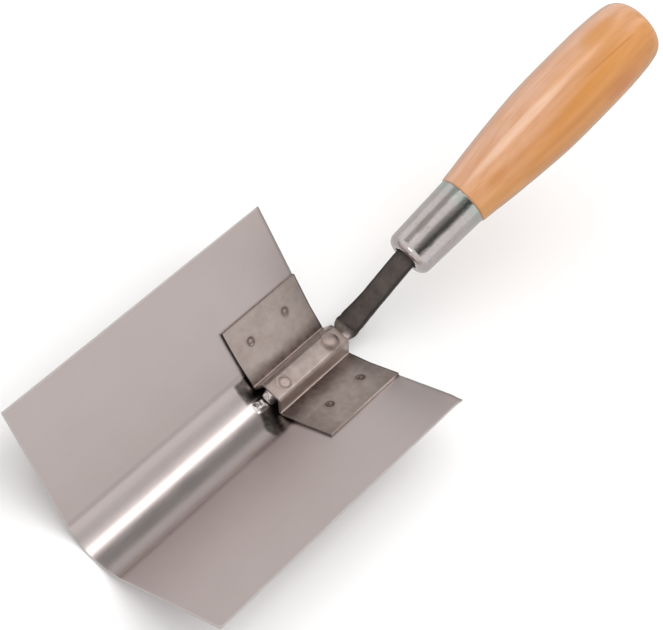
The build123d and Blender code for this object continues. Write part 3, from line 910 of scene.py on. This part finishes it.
m.link(m.bump(m.math("MULTIPLY", m.math("MULTIPLY", dents, ends), uneven), 0.42, 0.00020, m.bump(draw, 0.10, 0.00004)), m.b.inputs["Normal"])
m.set(Metallic=1.0)
ferrule.data.materials.append(m.m)

# handle: pale hardwood under honey lacquer
m = Mat("varnished_wood")
along_axis = m.mapping((1, 1, 1), rot)
stretch = m.mapping((1, 0.045, 1), src=along_axis)
warp = m.noise(m.mapping((1, 0.25, 1), src=along_axis), 55, 3, 0.5)
g1 = m.noise(stretch, 200, 3, 0.5, 0.3)
g2 = m.noise(m.mapping((1, 0.02, 1), src=along_axis), 1500, 3, 0.6)
pores = m.noise(m.mapping((1, 0.012, 1), src=along_axis), 3200, 2, 0.5)
heart = m.ramp(g1, [(0.25, (0.500, 0.190, 0.038)), (0.5, (0.600, 0.255, 0.064)), (0.75, (0.70, 0.325, 0.092))])
# painted sheen: the +X half of the grip is paler and pinker, a soft reflection painted into the colour
sheen_tone = m.ramp(g1, [(0.25, (0.575, 0.305, 0.185)), (0.5, (0.655, 0.370, 0.238)), (0.75, (0.73, 0.430, 0.285))])
sepx = m.t.nodes.new("ShaderNodeSeparateXYZ")
m.link(m.co, sepx.inputs[0])
side = m.math("ADD", sepx.outputs["X"], m.range(warp, 0.3, 0.7, -0.006, 0.006))
side = m.math("ADD", side, m.range(m.attr("along"), 28.0, 118.0, 0.0030, -0.0040))
base = m.mix(m.range(side, -0.0065, 0.0075, 0, 1), heart, sheen_tone)
patchy = m.noise(m.mapping((1, 0.45, 1), loc=(0.02, 0.01, 0.03), src=along_axis), 95, 2, 0.5)
base = m.mix(m.range(patchy, 0.50, 0.68, 0, 0.38), base, (0.60, 0.240, 0.050))
# growth rings about a pith outside the blank, so they run along the grip and
# sweep round where it tapers
sepr = m.t.nodes.new("ShaderNodeSeparateXYZ")
m.link(along_axis, sepr.inputs[0])
AXIS_Z = (H_Y * sin(H_ANG) + H_Z * cos(H_ANG)) * MM
zr = m.math("SUBTRACT", sepr.outputs["Z"], AXIS_Z)
dx = m.math("ADD", sepr.outputs["X"], -0.021)
dz = m.math("ADD", zr, 0.026)
ringd = m.math("SQRT", m.math("ADD", m.math("MULTIPLY", dx, dx), m.math("MULTIPLY", dz, dz)))
ringd = m.math("ADD", ringd, m.range(warp, 0.2, 0.8, -0.0022, 0.0022))
ringf = m.math("FRACT", m.math("MULTIPLY", ringd, 1 / 0.0029))
late = m.math("MULTIPLY", m.range(ringf, 0.45, 0.93, 0, 1, True), m.range(ringf, 0.93, 1.0, 1, 0, True))
base = m.mix(m.math("MULTIPLY", late, m.range(g1, 0.3, 0.7, 0.24, 0.10)), base, (0.50, 0.195, 0.050))
# a painted highlight streak down the grip; figure: a flame of darker wood near the butt, a reddish flush and one fine
# dark line
angle = m.math("MULTIPLY", m.math("ARCTAN2", sepr.outputs["X"], zr), 180 / pi)
s_mm = m.attr("along")


def spot(s, ds, a, da):
    u = m.math("DIVIDE", m.math("SUBTRACT", s_mm, s), ds)
    v = m.math("DIVIDE", m.math("SUBTRACT", angle, a), da)
    d = m.math("ADD", m.math("MULTIPLY", u, u), m.math("MULTIPLY", v, v))
    d = m.math("ADD", d, m.range(g1, 0.3, 0.7, -0.35, 0.35))
    return m.range(d, 0.05, 1.40, 1, 0, True)


# painted highlight: a pale pink streak down the grip
base = m.mix(m.math("MULTIPLY", spot(57, 27, 9, 8.5), 0.55), base, (0.86, 0.60, 0.44))
base = m.mix(m.math("MULTIPLY", spot(104, 9.5, 20, 30), 0.72), base, (0.585, 0.255, 0.060))
base = m.mix(m.math("MULTIPLY", spot(97, 9, -60, 15), 0.55), base, (0.50, 0.170, 0.050))
base = m.mix(m.math("MULTIPLY", spot(60, 15, -34, 16), 0.35), base, (0.60, 0.235, 0.045))
base = m.mix(m.math("MULTIPLY", spot(40, 6, -26, 14), 0.40), base, (0.55, 0.210, 0.045))
streak = m.math("ABSOLUTE", m.math("ADD", angle, m.math("ADD", m.range(s_mm, 88, 113, 9.5, 15.0), m.range(warp, 0.2, 0.8, -4, 4))))
streak = m.math("MULTIPLY", m.range(streak, 0.4, 2.6, 1, 0, True), m.math("MULTIPLY", m.range(s_mm, 86, 93, 0, 1, True), m.range(s_mm, 109, 115, 1, 0, True)))
base = m.mix(m.math("MULTIPLY", streak, 0.55), base, (0.45, 0.170, 0.040))
base = m.mix(m.range(g2, 0.45, 0.75, 0, 0.22), base, (0.52, 0.22, 0.065))
base = m.mix(m.range(pores, 0.62, 0.75, 0, 0.25), base, (0.42, 0.17, 0.05))
m.link(base, m.b.inputs["Base Color"])
m.link(m.range(g1, 0.3, 0.7, 0.34, 0.44), m.b.inputs["Roughness"])
m.link(m.bump(pores, 0.12, 0.00005, m.bump(g2, 0.10, 0.00006)), m.b.inputs["Normal"])
m.set(Coat_Weight=0.9, Coat_Roughness=0.20, Specular_IOR_Level=0.4)
handle.data.materials.append(m.m)

# welds: bracket metal with a brown heat tint, and painted shade with soot in the pressed ring
m = Mat("weld")
cloud = m.noise(m.co, 700, 3, 0.6)
col = m.mix(m.range(cloud, 0.3, 0.7, 0, 1), (0.50, 0.395, 0.36), (0.64, 0.53, 0.49))
ring = m.math("MULTIPLY", m.attr("ring"), m.range(cloud, 0.3, 0.6, 0.75, 1.0))
col = m.mix(m.math("MULTIPLY", ring, 0.85, True), col, (0.105, 0.070, 0.062))
m.link(col, m.b.inputs["Base Color"])
m.link(m.range(cloud, 0.3, 0.7, 0.42, 0.54), m.b.inputs["Roughness"])
m.link(m.bump(cloud, 0.25, 0.00006), m.b.inputs["Normal"])
m.set(Metallic=1.0)
wing_welds.data.materials.append(m.m)
hat_welds.data.materials.append(m.m)

# --------------------------------------------------------------- floor
bpy.ops.mesh.primitive_grid_add(x_subdivisions=8, y_subdivisions=8, size=16.0, location=(0, 0, 0))
floor = bpy.context.active_object
floor.name = "floor"
m = Mat("floor_paper")
cloud = m.noise(m.co, 3, 3, 0.5)
m.link(m.mix(cloud, (0.915, 0.915, 0.915), (0.93, 0.93, 0.928)), m.b.inputs["Base Color"])
m.set(Roughness=0.9, Specular_IOR_Level=0.2)
floor.data.materials.append(m.m)
floor.visible_glossy = False

# --------------------------------------------------------------- camera
cam_data = bpy.data.cameras.new("camera")
cam = bpy.data.objects.new("camera", cam_data)
bpy.context.scene.collection.objects.link(cam)
cam_data.sensor_fit = "HORIZONTAL"
cam_data.sensor_width = 36.0
cam_data.lens = 119.18
cam_data.clip_start, cam_data.clip_end = 0.01, 50
rot3 = Matrix((
    (-0.7185480580877089, 0.6792780516817944, -0.14923142002195172),
    (-0.6346293598923098, -0.552636380997971, 0.5402208862679626),
    (0.2844894792097943, 0.4828813093306171, 0.8281855935224237),
))
cam.matrix_world = Matrix.Translation((-0.11122818, 0.42498530, 0.66439534)) @ rot3.to_4x4()
bpy.context.scene.camera = cam

# --------------------------------------------------------------- light
def area(name, loc, target, size, size_y, power, colour=(1, 1, 1)):
    d = bpy.data.lights.new(name, "AREA")
    d.shape = "RECTANGLE"
    d.size, d.size_y, d.energy, d.color = size, size_y, power, colour
    o = bpy.data.objects.new(name, d)
    bpy.context.scene.collection.objects.link(o)
    o.location = loc
    o.rotation_euler = (Vector(target) - Vector(loc)).to_track_quat("-Z", "Y").to_euler()
    return o


# The studio: a pale tent with one narrow softbox overhead and a dim gap beside it.
# Everything is a function of the direction in the room: a = angle from straight up
# towards +X, y = how far towards the blade's front edge.
world = bpy.data.worlds.new("studio")
bpy.context.scene.world = world
world.use_nodes = True
wt = world.node_tree
wt.nodes.clear()
w_out = wt.nodes.new("ShaderNodeOutputWorld")
w_bg = wt.nodes.new("ShaderNodeBackground")
wt.links.new(w_bg.outputs[0], w_out.inputs["Surface"])
w_sep = wt.nodes.new("ShaderNodeSeparateXYZ")
wt.links.new(wt.nodes.new("ShaderNodeTexCoord").outputs["Generated"], w_sep.inputs[0])


def wmath(op, a, b=None, c=None):
    n = wt.nodes.new("ShaderNodeMath")
    n.operation = op
    for i, v in enumerate((a, b, c)):
        if v is None:
            continue
        if isinstance(v, (int, float)):
            n.inputs[i].default_value = v
        else:
            wt.links.new(v, n.inputs[i])
    return n.outputs[0]


def wbump(v, c, flat, soft):
    """1 within c +- flat, falling to 0 over soft."""
    d = wmath("ABSOLUTE", wmath("SUBTRACT", v, c))
    n = wt.nodes.new("ShaderNodeMapRange")
    n.interpolation_type = "SMOOTHSTEP"
    for i, k in ((1, flat), (2, flat + soft), (3, 1.0), (4, 0.0)):
        n.inputs[i].default_value = k
    wt.links.new(d, n.inputs[0])
    return n.outputs[0]


w_x, w_y, w_z = w_sep.outputs
w_a = wmath("MULTIPLY", wmath("ARCTAN2", w_x, w_z), 180 / pi)


def patch(level, value, a, y):
    """Blends the level towards value inside a soft rectangle of the room."""
    f = wmath("MULTIPLY", wbump(w_a, *a), wbump(w_y, *y))
    return wmath("ADD", wmath("MULTIPLY", level, wmath("SUBTRACT", 1.0, f)), wmath("MULTIPLY", f, value))


PATCHES = [
    (0.27, (30, 11, 14), (-0.60, 0.35, 0.25)),
    (0.56, (57, 4, 7), (-0.50, 0.25, 0.20)),
    (0.60, (-29, 5, 9), (-0.55, 0.30, 0.20)),
    (0.30, (-13, 4, 18), (0.20, 0.25, 0.12)),
    (0.08, (-34, 4.5, 20), (0.20, 0.25, 0.12)),
    (0.40, (44, 7, 15), (0.14, 0.10, 0.10)),
    (2.80, (0.5, 4.5, 4.5), (-0.55, 0.30, 0.20)),
    (4.6, (26, 3.0, 7), (0.085, 0.045, 0.025)),
    (3.50, (12, 14, 10), (0.885, 0.03, 0.03)),
]
w_low = wt.nodes.new("ShaderNodeMapRange")
w_low.interpolation_type = "SMOOTHSTEP"
for i, k in ((1, -0.10), (2, 0.12), (3, 0.60), (4, 0.80)):
    w_low.inputs[i].default_value = k
wt.links.new(w_z, w_low.inputs[0])
level = w_low.outputs[0]
for value, a, y in PATCHES:
    level = patch(level, value, a, y)
wt.links.new(level, w_bg.inputs["Strength"])
w_bg.inputs["Color"].default_value = (1.0, 0.985, 0.98, 1)

top = area("overhead", (0.0, -0.2, 1.9), (0, 0.0, 0), 2.6, 2.6, 27)
top.visible_glossy = False
bpy.context.scene.view_settings.view_transform = "Standard"
